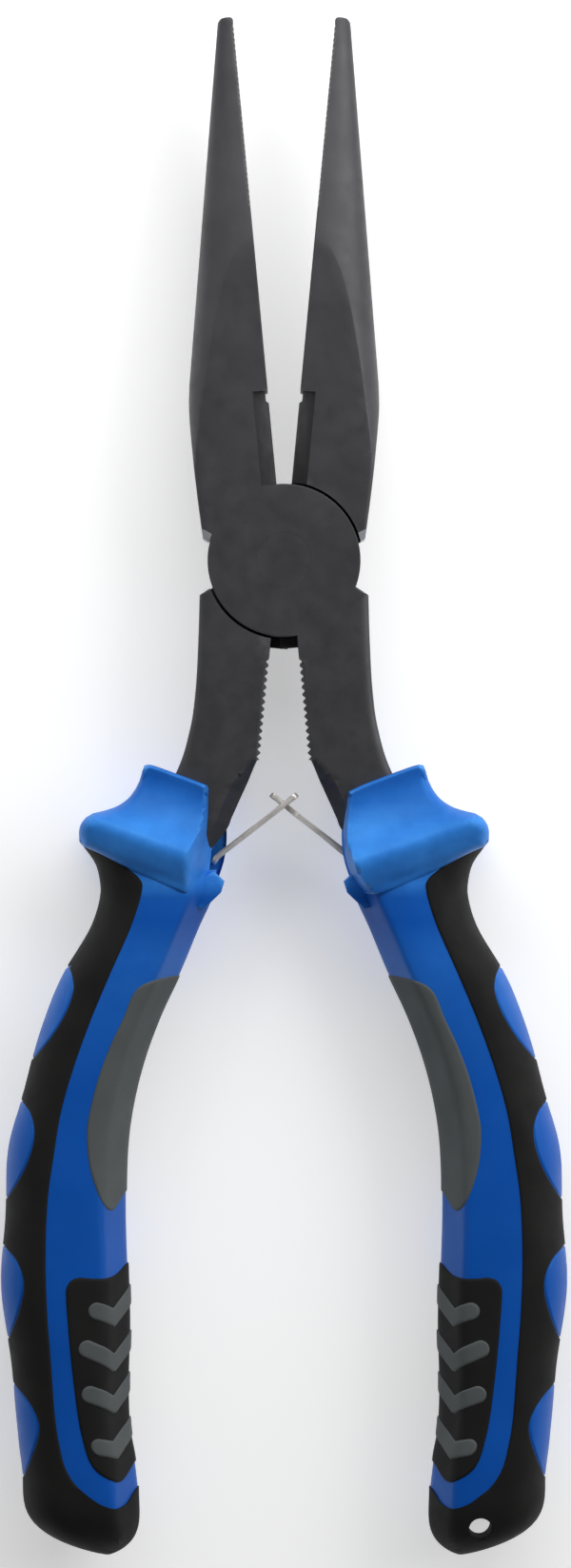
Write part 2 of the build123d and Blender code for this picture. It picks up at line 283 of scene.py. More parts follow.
def loft(name, rings):
    """A closed piece through rings of points, one after another."""
    count, end = len(rings[0]), len(rings[0]) * (len(rings) - 1)
    faces = [tuple(range(count)), tuple(range(end, end + count))]
    for start in range(0, end, count):
        for i in range(count):
            a, b = start + i, start + (i + 1) % count
            faces.append((a, b, b + count, a + count))
    obj = new_object(name, np.vstack(rings), faces)
    tidy_mesh(obj)
    return obj


def prism(name, profile, reach):
    """A closed profile in space, extruded by a vector."""
    profile = np.array(profile, float)
    return loft(name, [profile, profile + reach])


def combine(obj, tool, operation):
    """Applies a boolean and removes the tool."""
    modifier = obj.modifiers.new("cut", "BOOLEAN")
    modifier.operation = operation
    modifier.object = tool
    modifier.solver = "EXACT"
    bpy.context.view_layer.update()
    depsgraph = bpy.context.evaluated_depsgraph_get()
    result = bpy.data.meshes.new_from_object(obj.evaluated_get(depsgraph))
    obj.modifiers.clear()
    old = obj.data
    obj.data = result
    bpy.data.meshes.remove(old)
    bpy.data.objects.remove(tool)
    return obj


def close_pinholes(obj):
    """Fills the tiny triangles that a boolean may leave open."""
    with editing(obj.data) as bm:
        open_edges = [edge for edge in bm.edges if edge.is_boundary]
        bmesh.ops.holes_fill(bm, edges=open_edges, sides=4)


def join(name, parts):
    """Several closed shells as one piece."""
    mesh = bpy.data.meshes.new(name)
    with editing(mesh) as bm:
        for part in parts:
            bm.from_mesh(part.data)
            bpy.data.objects.remove(part)
    return link_object(name, mesh)


def mark_edges(obj):
    """Stores how convex the surface is at each vertex: 0.5 where flat, more along outer edges."""
    mesh = obj.data
    place, normal = np.empty((2, len(mesh.vertices), 3))
    ends = np.empty((len(mesh.edges), 2), int)
    mesh.vertices.foreach_get("co", place.ravel())
    mesh.vertex_normals.foreach_get("vector", normal.ravel())
    mesh.edges.foreach_get("vertices", ends.ravel())
    here, there = np.vstack([ends, ends[:, ::-1]]).T
    along = place[there] - place[here]
    along /= np.maximum(np.linalg.norm(along, axis=1), 1e-9)[:, None]
    links = np.maximum(np.bincount(here, minlength=len(place)), 1)
    rise = np.bincount(here, (along * normal[here]).sum(1), len(place)) / links
    convex = np.arccos(np.clip(rise, -1, 1)) / pi
    convex = (convex + np.bincount(here, convex[there], len(place))) / (1 + links)
    mesh.attributes.new("convexity", "FLOAT", "POINT").data.foreach_set("value", convex)


def half_turn(name, obj):
    """The same piece for the other hand."""
    mesh = obj.data.copy()
    mesh.name = name
    for v in mesh.vertices:
        v.co = (-v.co.x, v.co.y, 2 * MID_Z * MM - v.co.z)
    mesh.update()
    return link_object(name, mesh)


# --- levers
JOINT_RADIUS = 10.4
LAP_GAP = 0.35  # round the half disc
LAP = 0.05  # from the middle plane to each lap face
JAW_TIP_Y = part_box("lever_front")[1][1] / MM / cos(REST_OPENING)
JAW_GAP = 0.05
TIP_WIDTH, NOSE_WIDTH_SLOPE = 2.1, 0.173
TIP_HALF_THICKNESS, NOSE_THICKNESS_SLOPE = 1.7, 0.107
CUTTER_TOP_Y, CUTTER_BEVEL, CUTTER_LAND = 23.2, 2.15, 0.3
NOSE_FULLNESS = 2.5  # 2 is an ellipse across the nose, more is squarer
BLUNT = 0.12  # rim of edges left nearly sharp
DISC_RIM, LEG_CHAMFER = 0.1, 1.9
# a rim over CHAMFER_FROM stands for a flat chamfer as wide as what it has over that
CHAMFER_FROM, CHAMFER_SLOPE = 1.0, 1.3
JAW_SHOULDER = ((-10.72, 4.0), (-9.75, 3.3))
# where the ground facet meets the jaw's face
FACET_A, FACET_B = np.array(((-10.75, 5.35), (-9.33, 4.4)))
FACET_ALONG = (FACET_B - FACET_A) / hypot(*(FACET_B - FACET_A))
FACET_OUT = np.array((FACET_ALONG[1], -FACET_ALONG[0]))
# a bare face lies within this of the facet, is this steep and faces this squarely
FACET_REACH, FACET_SLOPE, FACET_FACING = 2, 0.4, 0.93
LEG_SHOULDER = ((11.0, -5.8), (9.4, -4.5))
CONE_END_Y = 25.3  # below it the jaw's cheek leaves the nose's cone
# how far along a pitch each tooth starts, peaks and ends
TOOTH_START, TOOTH_PEAK, TOOTH_END = 0.12, 0.55, 0.98
LEG_X = 0.8  # the toothed edge of the leg
# outlines in the closed position
CHEEK_LINE = [(-11.0, 21.5), (-11.05, 15.5), (-10.95, 10.0)]
LEG_INNER_LINE = [(1.15, -27.4), (1.55, -28.6), (2.1, -30.4), (3.14, -33.4), (3.86, -35.5), (4.7, -37.7),
                  (9.0, -44.0)]
LEG_OUTER_LINE = [(15.6, -38.0), (11.9, -30.0), (10.6, -24.0), (10.35, -18.5), (10.6, -12.0)]
LEG_BEVEL_END_Y = -32.0  # the leg's inner chamfer grows down to here
# room for the other half's web, and the web: x, y and z from and to
RELIEF = (-2.0, 2.0, -12.3, -8.0, MID_Z - 2.8, MID_Z + LAP)
WEB = (-1.6, 1.6, -11.9, -9.0, MID_Z + LAP, MID_Z + 2.4)
RIVET_RADIUS, RIVET_HEAD, RIVET_HEAD_DEPTH = 3.0, 3.8, 1.2
RIVET_SEAM = 0.02


def soft_min(a, b, width):
    """The lesser of two heights, blended over a width."""
    share = np.clip(0.5 + 0.5 * (b - a) / width, 0, 1)
    return b * (1 - share) + a * share - width * share * (1 - share)


def teeth(x, y_from, y_to, pitch, depth):
    """A saw edge along Y, cut to a depth whose sign says which way."""
    count = int(abs(y_to - y_from) / pitch)
    step = (y_to - y_from) / count
    points = []
    for k in range(count):
        points += [(x, y_from + step * (k + TOOTH_START)), (x + depth, y_from + step * (k + TOOTH_PEAK)),
                   (x, y_from + step * (k + TOOTH_END))]
    return points


def nose_size(y):
    """The nose's half width and half thickness at a place along the jaw."""
    down = np.maximum(JAW_TIP_Y - y, 0)
    return TIP_WIDTH + NOSE_WIDTH_SLOPE * down, TIP_HALF_THICKNESS + NOSE_THICKNESS_SLOPE * down


def lever_outline():
    """The front lever from above in the closed position, anticlockwise from the jaw tip."""
    tip_end_y = JAW_TIP_Y - 0.5
    tip = smooth_curve([(-JAW_GAP, JAW_TIP_Y - 0.35), (-0.35, JAW_TIP_Y), (-1.55, JAW_TIP_Y),
                        (-nose_size(tip_end_y)[0], tip_end_y)], 0.12)
    cone = straight(tip[-1], (-nose_size(CONE_END_Y)[0], CONE_END_Y), 0.6)
    cheek = smooth_curve([cone[-1], *CHEEK_LINE, JAW_SHOULDER[0]])
    left_end = degrees(atan2(JAW_SHOULDER[1][1], JAW_SHOULDER[1][0]))
    left_arc = arc((0, 0), JOINT_RADIUS, left_end, 270 + degrees(atan2(LEG_X, 10.36)))
    leg_saw = teeth(LEG_X, -13.3, -27.3, 0.95, 0.44)
    leg_inner = smooth_curve(LEG_INNER_LINE)
    bevel_end = np.searchsorted(-leg_inner[:, 1], -LEG_BEVEL_END_Y)
    leg_outer = smooth_curve([*LEG_OUTER_LINE, LEG_SHOULDER[0]])
    right_start = degrees(atan2(LEG_SHOULDER[1][1], LEG_SHOULDER[1][0]))
    right_arc = arc((0, 0), JOINT_RADIUS, right_start, 90.2)
    notch = [(-JAW_GAP, CUTTER_TOP_Y - 1.5), (-0.42, CUTTER_TOP_Y - 1.25), (-0.42, CUTTER_TOP_Y - 0.15),
             (-JAW_GAP, CUTTER_TOP_Y + 0.1)]
    jaw_plain = straight((-JAW_GAP, CUTTER_TOP_Y + 0.6), (-JAW_GAP, 48.0), 0.6)
    jaw_saw = teeth(-JAW_GAP, 48.2, JAW_TIP_Y - 0.8, 0.77, -0.22)
    chamfer = CHAMFER_FROM + LEG_CHAMFER
    return outline_of([
        (tip, 0.25), (cone, 0.04), (cheek, (1.0, 0.3)), (straight(*JAW_SHOULDER, 0.3), 0.1),
        (left_arc, DISC_RIM), (leg_saw, BLUNT), (leg_inner[:bevel_end], (CHAMFER_FROM + 0.4, chamfer)),
        (leg_inner[bevel_end:], chamfer), (leg_outer, 1.0), (straight(*LEG_SHOULDER, 0.3), 0.15),
        (right_arc, DISC_RIM), (notch, BLUNT), (jaw_plain, BLUNT), (jaw_saw, 0.09),
    ])


def lever_half_height(p):
    """Half the thickness: flat cheeks, and a half-cone nose ground into the jaw."""
    wide, thick = nose_size(p[:, 1])
    share = np.clip(np.abs(p[:, 0]) / wide, 0, 1)
    cone = thick * (1 - share**NOSE_FULLNESS) ** (1 / NOSE_FULLNESS)
    cone = np.where((p[:, 1] > 4) & (p[:, 0] < 0.5), cone, 3 * HALF_THICK)
    return np.maximum(soft_min(cone, HALF_THICK, 0.1), 0.04)


def lever_guides():
    """Points along the line where the ground nose meets the flat cheek, and round the rivet."""
    start = JAW_TIP_Y - (HALF_THICK - TIP_HALF_THICKNESS) / NOSE_THICKNESS_SLOPE
    y = np.arange(start - 0.1, 12.0, -0.4)
    wide, thick = nose_size(y)
    x = -wide * (1 - (HALF_THICK / thick) ** NOSE_FULLNESS) ** (1 / NOSE_FULLNESS)
    crease = [np.column_stack([x + shift, y]) for shift in (-0.12, 0.0, 0.12)]
    rings = [arc((0, 0), RIVET_HEAD + gap, 0, 360, 0.5)[:-1] for gap in (-0.7, -0.35, 0.3, 0.7, 1.2)]
    return np.vstack(crease + rings)


def lever_face(sign):
    """The lever's upper (1) or lower (-1) face."""
    def face(p, distance, rim):
        height = lever_half_height(p)
        curve = np.where(rim > CHAMFER_FROM, BLUNT, rim)
        drop = np.minimum(0.7 * curve, 0.6 * height) * (1 - rounded(distance, curve))
        drop = np.maximum(drop, CHAMFER_SLOPE * (rim - CHAMFER_FROM - distance))
        return np.column_stack([p, MID_Z + sign * (height - drop)])
    return face


def disc_tool(name, radius, low, high):
    ring = arc((0, 0), radius, 0, 360, 0.3)[:-1]
    return prism(name, [(x, y, low) for x, y in ring], (0, 0, high - low))


def block_tool(name, x0, x1, y0, y1, z0, z1):
    return prism(name, [(x0, y0, z0), (x1, y0, z0), (x1, y1, z0), (x0, y1, z0)], (0, 0, z1 - z0))


def facet_tool(sign):
    """What is ground off the jaw's stop shoulder, outside the joint's disc."""
    start = FACET_A - 1.5 * FACET_ALONG
    reach = (FACET_B - FACET_A) + 3.0 * FACET_ALONG
    profile = [(-0.3, HALF_THICK + 0.3), (2.5, HALF_THICK + 0.3), (2.5, HALF_THICK - 2.5)]
    triangle = [(*(start + FACET_OUT * d), MID_Z + sign * z) for d, z in profile]
    tool = prism("facet_tool", triangle, (*reach, 0))
    return combine(tool, disc_tool("facet_limit", JOINT_RADIUS + 0.05, -10, 3 * HALF_THICK), "DIFFERENCE")


def rivet_tool():
    """The rivet's shape with its two flush heads, a little larger than the rivet."""
    radius, head = RIVET_RADIUS + RIVET_SEAM, RIVET_HEAD + RIVET_SEAM
    top = MID_Z + HALF_THICK
    levels = [(head, -1.0), (head, 0.0), (radius, RIVET_HEAD_DEPTH), (radius, top - RIVET_HEAD_DEPTH),
              (head, top), (head, top + 1.0)]
    turn = np.linspace(0, 2 * pi, 128, endpoint=False)
    return loft("rivet_tool", [[(r * cos(t), r * sin(t), z) for t in turn] for r, z in levels])


def build_lever():
    """The front lever in the closed position."""
    loop, rim = lever_outline()
    lever = slab("lever_shape", [loop], lever_face(1), lever_face(-1), [rim],
                 (0.04, 0.12, 0.3, 0.6, 1.15, 1.8), 1.2, guides=lever_guides())
    # the side cutter's bevels, one from each face
    slope = (HALF_THICK - CUTTER_LAND) / CUTTER_BEVEL
    for sign in (1, -1):
        inner_z = MID_Z + sign * (CUTTER_LAND - 0.4 * slope)
        outer_z = MID_Z + sign * (HALF_THICK + 0.3 * slope)
        wedge = [(0.4, JOINT_RADIUS, inner_z), (0.4, JOINT_RADIUS, outer_z),
                 (-CUTTER_BEVEL - 0.3, JOINT_RADIUS, outer_z)]
        combine(lever, prism("bevel_tool", wedge, (0, CUTTER_TOP_Y - JOINT_RADIUS, 0)), "DIFFERENCE")
        combine(lever, facet_tool(sign), "DIFFERENCE")
    combine(lever, disc_tool("recess_tool", JOINT_RADIUS + LAP_GAP, MID_Z - 2 * HALF_THICK, MID_Z + LAP),
            "DIFFERENCE")
    combine(lever, block_tool("relief_tool", *RELIEF), "DIFFERENCE")
    combine(lever, block_tool("web_tool", *WEB), "UNION")
    return lever


def at_rest(name, obj):
    """Turns a lever from the closed to the rest position about the pivot."""
    c, s = cos(REST_OPENING), sin(REST_OPENING)
    for v in obj.data.vertices:
        v.co = (c * v.co.x - s * v.co.y, s * v.co.x + c * v.co.y, v.co.z)
    obj.name = obj.data.name = name
    return obj


# --- leaf springs
SPRING_ROOT = np.array(JOINTS["right_spring_root"]["pos_m"]) / MM
SPRING_LENGTH, SPRING_HALF_WIDTH, SPRING_HALF = 15.0, 2.25, 0.38
SPRING_BEND_AT, SPRING_BEND_WIDTH, SPRING_SAG = 1.2, 0.12, 1.5
SPRING_ROOT_ANGLE, SPRING_RUN_ANGLE = 56.0, 37.8
SLOT = (11.3, 14.4, 1.2, 0.4)  # from, to, half width, corner
TONGUE = (10.9, 0.85)  # where it begins, half width


def leaf_line():
    """The right leaf's middle line in plan, as u, x, y and direction."""
    u = np.linspace(0, SPRING_LENGTH, 240)
    turn = 1 / (1 + np.exp((u - SPRING_BEND_AT) / SPRING_BEND_WIDTH))
    sag = SPRING_SAG * (u / SPRING_LENGTH - 0.5)
    angle = np.radians(SPRING_RUN_ANGLE + (SPRING_ROOT_ANGLE - SPRING_RUN_ANGLE) * turn + sag)
    du = np.gradient(u)
    x = SPRING_ROOT[0] - np.cumsum(np.cos(angle) * du)
    y = SPRING_ROOT[1] + np.cumsum(np.sin(angle) * du)
    return u, x, y, angle


def leaf_face(sign):
    """The leaf's outer (1) or inner (-1) face, bent along its middle line."""
    u, x, y, angle = leaf_line()

    def face(p, distance, rim):
        lift = sign * (SPRING_HALF - 0.12 * (1 - rounded(distance, rim)))
        a = np.interp(p[:, 0], u, angle)
        return np.column_stack([
            np.interp(p[:, 0], u, x) + np.sin(a) * lift,
            np.interp(p[:, 0], u, y) + np.cos(a) * lift,
            MID_Z + p[:, 1],
        ])
    return face


def round_rectangle(x0, x1, half, corner):
    """A rectangle about the X line with round corners."""
    left, right, far = x0 + corner, x1 - corner, half - corner
    centres = ((right, far), (left, far), (left, -far), (right, -far))
    return path(*(arc(centre, corner, 90 * k, 90 * k + 90, 0.12) for k, centre in enumerate(centres)))


def build_leaf(name, slotted):
    """A leaf with the slot, or with the tongue that goes through it."""
    if slotted:
        loops = [round_rectangle(0, SPRING_LENGTH, SPRING_HALF_WIDTH, 0.7), round_rectangle(*SLOT)]
    else:
        neck, tongue = TONGUE
        right = smooth_curve([(neck - 0.6, SPRING_HALF_WIDTH), (neck, SPRING_HALF_WIDTH - 0.5),
                              (neck + 0.25, tongue + 0.3), (neck + 0.8, tongue)], 0.15)
        tip = arc((SPRING_LENGTH - 0.5, 0), 0.5, 90, -90, 0.1) * (1, 1.7)
        upper = path([(0, 0)], [(0, SPRING_HALF_WIDTH)], right, tip[:len(tip) // 2])
        loops = [path(upper, [(SPRING_LENGTH, 0)], upper[1:][::-1] * (1, -1))]
    return slab(name, loops, leaf_face(1), leaf_face(-1), 0.12, (0.05, 0.12), 0.5)


# --- grip surface
# sections of the right-hand grip: y, inner x, outer x, half thickness
SECTIONS = np.array([
    (-37.0, 8.9, 27.9, 6.6), (-38.6, 8.9, 27.4, 6.6), (-41.0, 9.1, 25.7, 6.7), (-43.5, 9.4, 25.0, 6.8),
    (-46.0, 9.8, 25.0, 6.8), (-50.0, 11.6, 26.3, 6.9), (-56.0, 14.1, 29.9, 7.0), (-62.0, 16.9, 32.2, 7.0),
    (-68.0, 19.1, 34.4, 7.0), (-74.0, 20.6, 36.0, 7.0), (-80.0, 21.4, 37.3, 7.0), (-88.0, 21.6, 38.0, 7.0),
    (-96.0, 21.4, 38.4, 7.0), (-104.0, 21.2, 37.9, 7.0), (-112.0, 21.4, 36.95, 7.0),
    (-118.0, 21.2, 36.1, 7.0), (-122.0, 20.5, 35.8, 7.0), (-126.0, 20.0, 35.5, 6.9),
])
BAND_PROUD, PAD_PROUD, PANEL_PROUD, CHEVRON_PROUD = 0.2, 0.16, 0.22, 0.4
SKIN_DIP, SKIN_DEPTH, SKIN_RIM = 0.14, 1.2, 0.35
DOME_Y = SECTIONS[-1, 0]
DOME_DEPTH = DOME_Y - TAIL_Y - BAND_PROUD
DOME_RUN = 1.4 * DOME_DEPTH  # length over the rounded tail
DOME_LEAN = 3.7  # how far the tail's end leans inwards
AROUND = 121  # points from the outer edge to the inner edge
FULL_WIDTH = 15.0  # a section this wide has the full sizes below
OUTER_ROUND, INNER_BEVEL, INNER_FLAT, RIDGE_DROP, CROWN = 5.5, 3.1, 0.9, 0.35, 0.25
CORNER_BLUR, BLUR_REACH = 0.5, 14  # softens a section's corners: millimetres, points
FINGER_PITCH, FINGER_WAVE, FIRST_FINGER_Y = 19.0, 0.22, -61.6


def section_line(inner, outer, half):
    """The front half of a section from its outer to its inner edge, evenly spaced."""
    size = min(1.0, (outer - inner) / FULL_WIDTH)
    turn = np.radians(np.linspace(0, 90, 26))
    shoulder = outer - OUTER_ROUND * size
    ridge_x, ridge_z = inner + INNER_BEVEL * size, half - RIDGE_DROP * size
    u = np.linspace(0, 1, 16)[1:]
    crown_z = half + (ridge_z - half) * u + 4 * CROWN * size * u * (1 - u)
    flat = min(INNER_FLAT * size, half * 0.5)
    x = np.concatenate([shoulder + OUTER_ROUND * size * np.cos(turn), shoulder + (ridge_x - shoulder) * u,
                        ridge_x + (inner - ridge_x) * u, [inner]])
    z = np.concatenate([half * np.sin(turn), crown_z, ridge_z + (flat - ridge_z) * u, [0.0]])
    run = np.concatenate([[0], np.cumsum(np.hypot(np.diff(x), np.diff(z)))])
    even = np.linspace(0, run[-1], AROUND)
    x, z = np.interp(even, run, x), np.interp(even, run, z)
    sigma = min(CORNER_BLUR / max(run[-1] / (AROUND - 1), 0.02), 5.0)
    kernel = np.exp(-0.5 * (np.arange(-BLUR_REACH, BLUR_REACH + 1) / sigma) ** 2)
    kernel /= kernel.sum()
    x = np.convolve(np.pad(x, BLUR_REACH, "reflect"), kernel, "valid")
    z = np.convolve(np.pad(z, BLUR_REACH, "reflect", reflect_type="odd"), kernel, "valid")
    return x, z, run[-1]


def grip_rows():
    """The grip's surface by rows: run along it, y, and each section's x, z and length."""
    rows = []
    for y, inner, outer, half in smooth_curve(SECTIONS, 0.45)[:-1]:
        wave = FINGER_WAVE * cos(2 * pi * (y - FIRST_FINGER_Y) / FINGER_PITCH)
        fade = min(1.0, max(0.0, (-y - 48) / 8)) * min(1.0, max(0.0, (y + 127) / 6))
        rows.append((-y, y, inner, outer + wave * fade, half))
    _, inner, outer, half = SECTIONS[-1]
    for s in np.linspace(0, 1, 46):
        depth = sin(s * pi / 2)
        centre = (inner + outer) / 2 - DOME_LEAN * depth**2.6
        half_width = (outer - inner) / 2 * (1 - depth**3.5) ** 0.8
        thick = half * (1 - depth**3.2) ** 0.6
        rows.append((-DOME_Y + DOME_RUN * s, DOME_Y - DOME_DEPTH * depth,
                     centre - half_width, centre + half_width, thick))
    lines = [section_line(*row[2:]) for row in rows[:-1]]
    end_x = (rows[-1][2] + rows[-1][3]) / 2
    lines.append((np.full(AROUND, end_x), np.zeros(AROUND), 0.0))
    run, y, *_ = zip(*rows)
    return (np.array(column) for column in (run, y, *zip(*lines)))


def outward_normals(surface):
    """Unit normals at each row and column of points."""
    normal = np.cross(np.gradient(surface, axis=1), np.gradient(surface, axis=0))
    normal[np.linalg.norm(normal, axis=2) < 1e-9] = (0, -1, 0)
    normal /= np.linalg.norm(normal, axis=2)[..., None]
    if normal[len(normal) // 2, 0, 0] < 0:
        normal *= -1
    normal[-1] = (0, -1, 0)
    normal[:, [0, -1], 2] = 0
    return normal


RUN, ROW_Y, ROW_X, ROW_Z, ROW_LENGTH = grip_rows()
SURFACE = np.stack([ROW_X, np.repeat(ROW_Y[:, None], AROUND, 1), ROW_Z], 2)
NORMAL = outward_normals(SURFACE)


def on_skin(run, side):
    """Surface points and normals; side runs from 0 at the outer edge to 1 or -1 at the inner."""
    row = np.interp(run, RUN, np.arange(len(RUN)))
    column = np.clip(np.abs(side), 0, 1) * (AROUND - 1)
    r = np.clip(row.astype(int), 0, len(RUN) - 2)
    c = np.clip(column.astype(int), 0, AROUND - 2)
    down, over = (row - r)[:, None], (column - c)[:, None]

    def blend(table):
        value = ((table[r, c] * (1 - down) + table[r + 1, c] * down) * (1 - over)
                 + (table[r, c + 1] * (1 - down) + table[r + 1, c + 1] * down) * over)
        value[:, 2] *= np.where(side < 0, -1, 1)
        return value

    point, normal = blend(SURFACE), blend(NORMAL)
    normal /= np.maximum(np.linalg.norm(normal, axis=1), 1e-9)[:, None]
    point[:, 2] += MID_Z
    return point, normal


def girth(run):
    """Half the way round the grip."""
    return np.interp(run, RUN, ROW_LENGTH)


def to_skin(plan, wrap):
    """Plan points (x, y) as (run, distance over the surface from the outer or inner edge)."""
    out = []
    for x, y in plan:
        run = np.interp(-y, -ROW_Y, RUN)
        row = min(np.searchsorted(RUN, run, "right"), len(RUN) - 1)
        share = (run - RUN[row - 1]) / (RUN[row] - RUN[row - 1])
        section = ROW_X[row - 1] * (1 - share) + ROW_X[row] * share
        side = np.interp(x, section[::-1], np.linspace(1, 0, AROUND))
        length = girth(run)
        out.append((run, side * length if wrap == "outer" else (1 - side) * length))
    return np.array(out)


def mirrored_loop(half):
    """A closed loop from its half on the front, from edge line to edge line."""
    return path(half, half[::-1] * (1, -1))


def patch(name, loops, wrap, proud, rims=SKIN_RIM, seam=None, spacing=0.9):
    """A skin piece over the grip, with a rounded rim that dips into the core."""
    def side_of(p):
        length = np.maximum(girth(p[:, 0]), 1e-6)
        if wrap == "outer":
            return np.clip(p[:, 1] / length, -1, 1)
        return np.where(p[:, 1] < 0, -1, 1) * (1 - np.clip(np.abs(p[:, 1]) / length, 0, 1))

    def top(p, distance, size):
        point, normal = on_skin(p[:, 0], side_of(p))
        lift = -SKIN_DIP + (proud + SKIN_DIP) * rounded(distance, size)
        return point + normal * lift[:, None]

    def bottom(p, distance, size):
        point, normal = on_skin(p[:, 0], side_of(p))
        return point - normal * SKIN_DEPTH

    return slab(name, loops, top, bottom, rims, (0.05, 0.14, 0.28, 0.5), spacing, seam)


# --- grip pieces in plan
BAND_LINE = [(24.6, -38.6), (21.4, -41.6), (19.5, -43.3), (19.25, -45.0), (20.7, -49.7), (23.6, -56.3),
             (26.2, -62.5), (28.5, -68.9), (30.2, -74.9), (31.2, -80.9), (32.0, -86.8), (32.3, -94.3),
             (32.1, -101.7), (31.6, -108.4), (31.0, -116.4), (30.3, -120.6), (29.55, -123.3),
             (28.1, -125.6), (25.9, -127.5), (24.3, -128.4), (22.6, -128.8), (21.4, -128.2), (20.7, -127.1)]
BAND_CLOSING_Y = -126.2  # where the band's halves meet on the inner edge
# three points on each finger pad's inner edge
FINGER_PADS = [
    [(29.6, -54.9), (28.8, -56.6), (28.65, -58.6), (29.6, -61.4), (31.6, -64.8), (34.4, -68.2)],
    [(35.9, -73.4), (34.5, -75.1), (33.9, -77.4), (34.3, -80.2), (35.6, -83.4), (38.0, -87.4)],
    [(38.3, -93.2), (36.5, -94.9), (35.5, -97.1), (35.4, -99.4), (36.2, -102.6), (37.8, -106.8)],
    [(36.9, -112.0), (34.9, -114.0), (33.5, -116.4), (33.3, -118.6), (34.2, -121.6), (35.7, -125.6)],
]
PANEL_LINE = [(21.1, -94.6), (22.2, -96.4), (23.4, -97.3), (25.6, -97.45), (27.8, -97.3), (28.9, -97.7),
              (29.5, -98.6), (29.6, -100.2), (29.1, -106.7), (28.5, -112.3), (27.8, -117.3),
              (26.9, -121.0), (26.2, -122.7), (25.2, -123.9), (23.6, -124.9), (22.6, -125.3),
              (21.8, -125.0), (20.9, -123.6), (20.2, -121.8)]
INLAY_LINE = [(14.0, -56.3), (18.0, -57.1), (20.3, -58.6), (21.9, -62.3), (23.6, -65.9), (25.2, -70.2),
              (26.4, -74.9), (26.8, -78.1), (26.4, -82.4), (25.2, -86.2), (24.0, -88.2), (23.1, -88.3),
              (22.1, -86.6), (21.2, -84.6)]
# outer end and bend of each chevron's middle line
CHEVRONS = [((25.4, -101.9), (23.3, -102.9)), ((26.7, -107.0), (23.3, -109.1)),
            ((26.3, -113.2), (23.3, -114.8)), ((25.0, -120.4), (23.1, -120.9))]
CHEVRON_WIDTH, CHEVRON_RISE = 2.55, 3.105
EDGE_EASE = 1.4  # how far from the edge line an outline turns square to it


def edge_to_edge(plan, wrap):
    """A plan line carried onto the skin, with both ends square to the edge line."""
    line = to_skin(smooth_curve(plan, 0.45), wrap)
    line[0, 1] = line[-1, 1] = 0
    peak = line[:, 1].argmax()
    for part in (slice(0, peak + 1), slice(peak, None)):
        run, distance = line[part].T
        eased = np.hypot(distance, EDGE_EASE * np.clip(1 - distance / (3 * EDGE_EASE), 0, 1))
        order = distance.argsort()
        line[part, 0] = np.interp(eased, distance[order], run[order])
    return line


def band_loops():
    """The outer band with the tail, and the windows for the finger pads."""
    line = to_skin(smooth_curve(BAND_LINE, 0.45), "outer")
    top_run = RUN[1]
    seam_start = np.interp(-BAND_CLOSING_Y, -ROW_Y, RUN)
    entry = np.array([(top_run, line[0, 1]), line[0]])
    near_edge = ((line[-1, 0] + 3 * seam_start) / 4, (line[-1, 1] + girth(seam_start)) / 2)
    closing = smooth_curve([line[-1], near_edge, (seam_start, girth(seam_start))], 0.4)
    seam_runs = RUN[RUN > seam_start + 0.1]
    seam = np.column_stack([seam_runs, girth(seam_runs)])
    half = path(entry, line[1:], closing, seam)
    rim = np.full(len(half), SKIN_RIM)
    rim[half[:, 0] >= seam_start - 0.02] = 0.0
    loop = np.vstack([half, half[:-1][::-1] * (1, -1)])
    rims = np.concatenate([rim, rim[:-1][::-1]])
    lid = straight(loop[-1], loop[0], 0.6)[1:-1]
    loop = np.vstack([loop, lid])
    rims = np.concatenate([rims, np.full(len(lid), 0.1)])
    return loop, rims, seam_start


def bar_loop(outer_end, bend):
    """A chevron on the skin: round outer end, bend on the ridge, arms that meet at the inner edge."""
    start, corner = to_skin([outer_end, bend], "inner")
    peak = np.array((corner[0] - CHEVRON_RISE, 0.0))
    w = CHEVRON_WIDTH / 2
    first = (corner - start) / hypot(*(corner - start))
    second = (peak - corner) / hypot(*(peak - corner))
    n1, n2 = np.array((-first[1], first[0])), np.array((-second[1], second[0]))
    mitre = (n1 + n2) / (1 + n1 @ n2)
    cap_angle = degrees(atan2(n1[1], n1[0]))
    cap = arc(start, w, cap_angle, cap_angle + 180, 0.25)
    at_edge = np.array((w / n2[0], 0.0))
    bend_a, bend_b = corner + mitre * w, corner - mitre * w
    upper = path(straight(peak + at_edge, bend_a), straight(bend_a, cap[0]), cap,
                 straight(cap[-1], bend_b), straight(bend_b, peak - at_edge))
    upper[0, 1] = upper[-1, 1] = 0
    return mirrored_loop(upper)


# --- thumb guard
GUARD_TILT = radians(19.6)
GUARD_RIDGE = np.array((19.8, -37.6))
GUARD_PROFILE = smooth_curve([(-9, 7.0), (-4.6, 7.25), (-3.0, 8.5), (-1.5, 9.5), (-0.4, 9.95), (0.5, 9.8),
                              (1.8, 8.75), (3.4, 7.5), (5.2, 6.6), (7.0, 6.15), (8.4, 6.2), (9.4, 6.5),
                              (11, 6.6)], 0.2)
SADDLE_RISE = 0.35  # towards the saddle's two ends
GUARD_STEP_Z = 2.6  # above the middle plane; from here up the inner side stands out
GUARD_SIDE = [(9.5, -31.9), (9.4, -34.5), (9.4, -37.5), (9.5, -40.0), (9.7, -42.6), (10.0, -44.6)]
GUARD_SIDE_OUT = [(8.3, -32.2), (8.1, -34.0), (7.9, -36.0), (7.85, -37.6), (7.95, -39.2), (8.25, -41.0),
                  (8.9, -43.0), (9.5, -44.2), (10.0, -44.9)]
SOCKET_HALF = 3.7
SOCKET = [(12, -43.6), (9.6, -42.3), (8.15, -43.7), (8.6, -45.2), (10.9, -47.4), (13, -47)]
